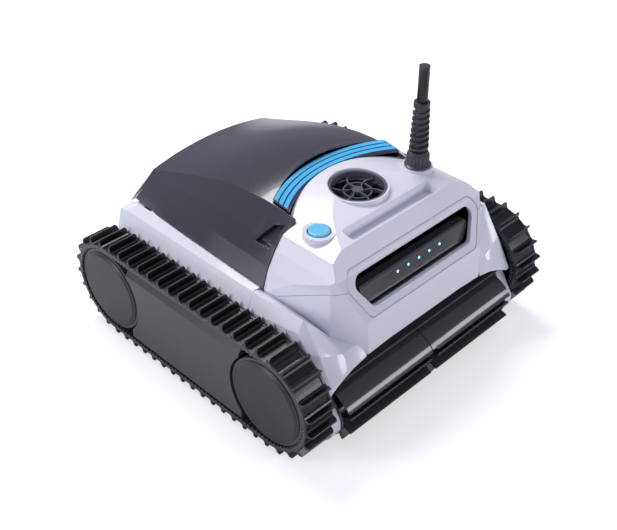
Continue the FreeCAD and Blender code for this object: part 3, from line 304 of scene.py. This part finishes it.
def add_track(side):
    """Rubber belt with rimmed edges, thin blades on stepped pads, and inner teeth."""
    path = BeltPath(side)
    shape = Shape()
    slope = RIM_W + RIM_H
    across = [(path.x0, -BELT_T), (path.x0, RIM_H), (path.x0 + RIM_W, RIM_H), (path.x0 + slope, 0)]
    across += [(path.x1 - slope, 0), (path.x1 - RIM_W, RIM_H), (path.x1, RIM_H), (path.x1, -BELT_T)]
    sections = []
    steps = LUGS * STEPS_PER_LUG
    for k in range(steps):
        p, t, n = path.frame_at(path.length * k / steps)
        sections.append([Vector((x, 0, 0)) + p + n * out for x, out in across])
    shape.sweep(sections, loop=True)
    for k in range(LUGS):
        p, t, n = path.frame_at(path.length * k / LUGS)
        row = [(path.x0 + e, f) for e, f in LUG_ENDS] + [(path.x1 - e, f) for e, f in reversed(LUG_ENDS)]
        shape.sweep([[Vector((x, 0, 0)) + p + t * a * MM + n * min(out * MM, LUG_H * f)
                      for a, out in LUG_PROFILE] for x, f in row])
    for k in range(LUGS * TEETH):
        p, t, n = path.frame_at(path.length * (k + 0.5) / (LUGS * TEETH))
        w, root, tip = TOOTH_W / 2, SINK - BELT_T, -BELT_T - TOOTH_H
        tooth = ((-w, root), (-0.8 * w, tip), (0.8 * w, tip), (w, root))
        shape.sweep([[Vector((x, 0, 0)) + p + t * a + n * out for a, out in tooth]
                     for x in (path.x0 + SINK, path.x1 - SINK)])
    name = "belt_" + side
    add_piece(name, shape.mesh(name), "track_rubber", "hull", "track_" + side)


# ------------------------------------------------------------------ brushes
FINS = 10
FIN_IN, FIN_OUT = 0.0165, 0.0327
RIB_FROM, RIB_TO = 0.008, 0.1375      # distances from the machine's middle
RIB_STEP = 0.0092
RIB_W = 0.0016
RIB_T = 0.0019                # half the thickness across a fin


def add_brush_ribs(end, side):
    """Cross ribs that divide each fin of a roller brush into short blades."""
    node = "brush_%s_%s" % (end, side)
    low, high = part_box(node)
    c = (low + high) / 2
    sign = 1 if c.x > 0 else -1
    x = RIB_FROM
    shape = Shape()
    while x < RIB_TO:
        for k in range(FINS):
            a = 2 * math.pi / FINS * (k + 0.5)
            n = Vector((0, math.cos(a), math.sin(a)))
            t = Vector((0, -math.sin(a), math.cos(a)))
            root = Vector((sign * x, c.y, c.z))
            outline = ((-RIB_T, FIN_IN), (-RIB_T * 0.75, FIN_OUT), (RIB_T * 0.75, FIN_OUT), (RIB_T, FIN_IN))
            shape.sweep([[root + Vector((dx, 0, 0)) + t * p + n * q for p, q in outline]
                         for dx in (-RIB_W / 2, RIB_W / 2)])
        x += RIB_STEP
    name = "brush_ribs_%s_%s" % (end, side)
    add_piece(name, shape.mesh(name), "brush_rubber", node)


# ------------------------------------------------------------------ gland, boot and cable
def add_nut():
    """Nut with upright ribs over a plain flange."""
    low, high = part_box("gland_nut")
    c = (low + high) / 2
    r = (high.x - low.x) / 2
    shape = Shape()
    ribs, per, groove = 20, 4, 0.0012
    # height, radius, and 1 where the ribs are cut in
    rows = ((0.0, r, 0), (0.0020, r, 0), (0.0028, r - 0.0016, 0), (0.0036, r - 0.0018, 1),
            (0.0150, r - 0.0022, 1), (0.0158, r - 0.0030, 0), (high.z - low.z, r - 0.0046, 0))
    sections = []
    for dz, rr, cut in rows:
        ring = []
        for k in range(ribs * per):
            a = 2 * math.pi * k / (ribs * per)
            depth = (0, 0, groove, groove)[k % per] * cut
            ring.append((c.x + (rr - depth) * math.cos(a), c.y + (rr - depth) * math.sin(a), low.z + dz))
        sections.append(ring)
    shape.sweep(sections)
    add_piece("nut_ribbed", shape.mesh("nut_ribbed", math.radians(25)), "gland_grey", "hull", "gland_nut")


def add_boot():
    """Strain relief: a slim sleeve with an open coil wound round it and a collar on top."""
    low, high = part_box("cable_boot")
    c = (low + high) / 2
    r0 = (high.x - low.x) / 2
    collar = 0.0072               # height of the collar
    sleeve = 0.0073               # radius of the sleeve
    shape = Shape()
    shape.sweep([ring_z(c, sleeve, z, 40) for z in (low.z, high.z - collar + 0.001)])
    rows = ((0.0, 0.0086), (0.0006, 0.0092), (collar - 0.0008, 0.0092), (collar, 0.0086))
    shape.sweep([ring_z(c, r, high.z - collar + dz, 40) for dz, r in rows])
    foot = ((0.0, 0.0110), (0.0018, 0.0110), (0.0030, 0.0090))
    shape.sweep([ring_z(c, r, low.z + dz, 40) for dz, r in foot])
    turns, steps = 7, 36
    rise = high.z - collar - low.z - 0.0052
    sections = []
    for k in range(turns * steps + 1):
        f = k / (turns * steps)
        a = 2 * math.pi * turns * f
        out = Vector((math.cos(a), math.sin(a), 0))
        r = r0 - 0.0002 - 0.0019 * f
        z = low.z + 0.0026 + rise * f
        lower = ((sleeve - 0.0006, -0.0019), (r - 0.0006, -0.0017), (r, -0.0011))
        wire = lower + tuple((q, -h) for q, h in reversed(lower))
        sections.append([Vector((c.x, c.y, z + h)) + out * q for q, h in wire])
    shape.sweep(sections)
    add_piece("boot_coil", shape.mesh("boot_coil", math.radians(35)), "boot_black", "hull", "cable_boot")


def add_cable():
    low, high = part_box("cable")
    mid = (low + high) / 2
    r = (high.x - low.x) / 2
    curve = bpy.data.curves.new("cable_line", "CURVE")
    curve.dimensions = "3D"
    curve.bevel_depth = r
    curve.bevel_resolution = 8
    curve.use_fill_caps = True
    line = curve.splines.new("NURBS")
    line.points.add(2)
    for p, z in zip(line.points, (low.z, mid.z, high.z)):
        p.co = (mid.x, mid.y, z, 1)
    line.order_u = 3
    line.use_endpoint_u = True
    curve.resolution_u = 12
    o = bpy.data.objects.new("cable_line", curve)
    scene.collection.objects.link(o)
    curve.materials.append(MATERIALS["cable_black"])
    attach(o, "hull")
    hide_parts("cable")


# ------------------------------------------------------------------ stage and lights
def add_stage():
    world = bpy.data.worlds.new("world")
    scene.world = world
    world.use_nodes = True
    tree = world.node_tree
    tree.nodes.clear()
    out = tree.nodes.new("ShaderNodeOutputWorld")
    back = tree.nodes.new("ShaderNodeBackground")
    back.inputs["Color"].default_value = (1, 1, 1, 1)
    back.inputs["Strength"].default_value = 1.0
    fill = tree.nodes.new("ShaderNodeBackground")
    fill.inputs["Color"].default_value = (0.70, 0.70, 0.92, 1)
    fill.inputs["Strength"].default_value = 0.36
    path = tree.nodes.new("ShaderNodeLightPath")
    mix = tree.nodes.new("ShaderNodeMixShader")
    link(tree, path, "Is Camera Ray", mix, 0)
    tree.links.new(fill.outputs[0], mix.inputs[1])
    tree.links.new(back.outputs[0], mix.inputs[2])
    tree.links.new(mix.outputs[0], out.inputs["Surface"])

    m = bpy.data.materials.new("floor")
    m.use_nodes = True
    tree = m.node_tree
    tree.nodes.clear()
    out = tree.nodes.new("ShaderNodeOutputMaterial")
    diffuse = tree.nodes.new("ShaderNodeBsdfDiffuse")
    diffuse.inputs["Color"].default_value = (0.8, 0.8, 0.8, 1)
    glow = tree.nodes.new("ShaderNodeEmission")
    path = tree.nodes.new("ShaderNodeLightPath")
    power = tree.nodes.new("ShaderNodeMath")
    power.operation = "MULTIPLY"
    power.inputs[1].default_value = 0.55
    link(tree, path, "Is Camera Ray", power, 0)
    link(tree, power, "Value", glow, "Strength")
    add = tree.nodes.new("ShaderNodeAddShader")
    tree.links.new(diffuse.outputs[0], add.inputs[0])
    tree.links.new(glow.outputs[0], add.inputs[1])
    tree.links.new(add.outputs[0], out.inputs["Surface"])
    mesh = bpy.data.meshes.new("floor")
    reach = 12.0
    corners = [(-reach, -reach, 0), (reach, -reach, 0), (reach, reach, 0), (-reach, reach, 0)]
    mesh.from_pydata(corners, [], [(0, 1, 2, 3)])
    mesh.materials.append(m)
    floor = bpy.data.objects.new("floor", mesh)
    scene.collection.objects.link(floor)


def add_light(name, place, size, power, colour=(1, 1, 1), target=(0, 0, 0.12)):
    data = bpy.data.lights.new(name, "AREA")
    data.shape = "RECTANGLE"
    data.size, data.size_y = size
    data.energy = power
    data.color = colour
    o = bpy.data.objects.new(name, data)
    scene.collection.objects.link(o)
    o.location = place
    o.rotation_euler = (Vector(target) - Vector(place)).to_track_quat("-Z", "Y").to_euler()


add_camera()
add_stage()
add_light("key_top", (0.25, 0.85, 1.65), (1.2, 0.55), 21)
add_light("left_soft", (-1.75, 0.55, 0.95), (0.45, 1.3), 15, (0.95, 0.96, 1.0))
add_light("front_soft", (0.9, -1.7, 0.75), (1.3, 0.4), 10, (0.96, 0.97, 1.0))
dress_cad()
for side in ("left", "right"):
    add_track(side)
    for end in ("front", "rear"):
        add_brush_ribs(end, side)
add_nut()
add_boot()
add_cable()
scene.view_settings.view_transform = "Standard"
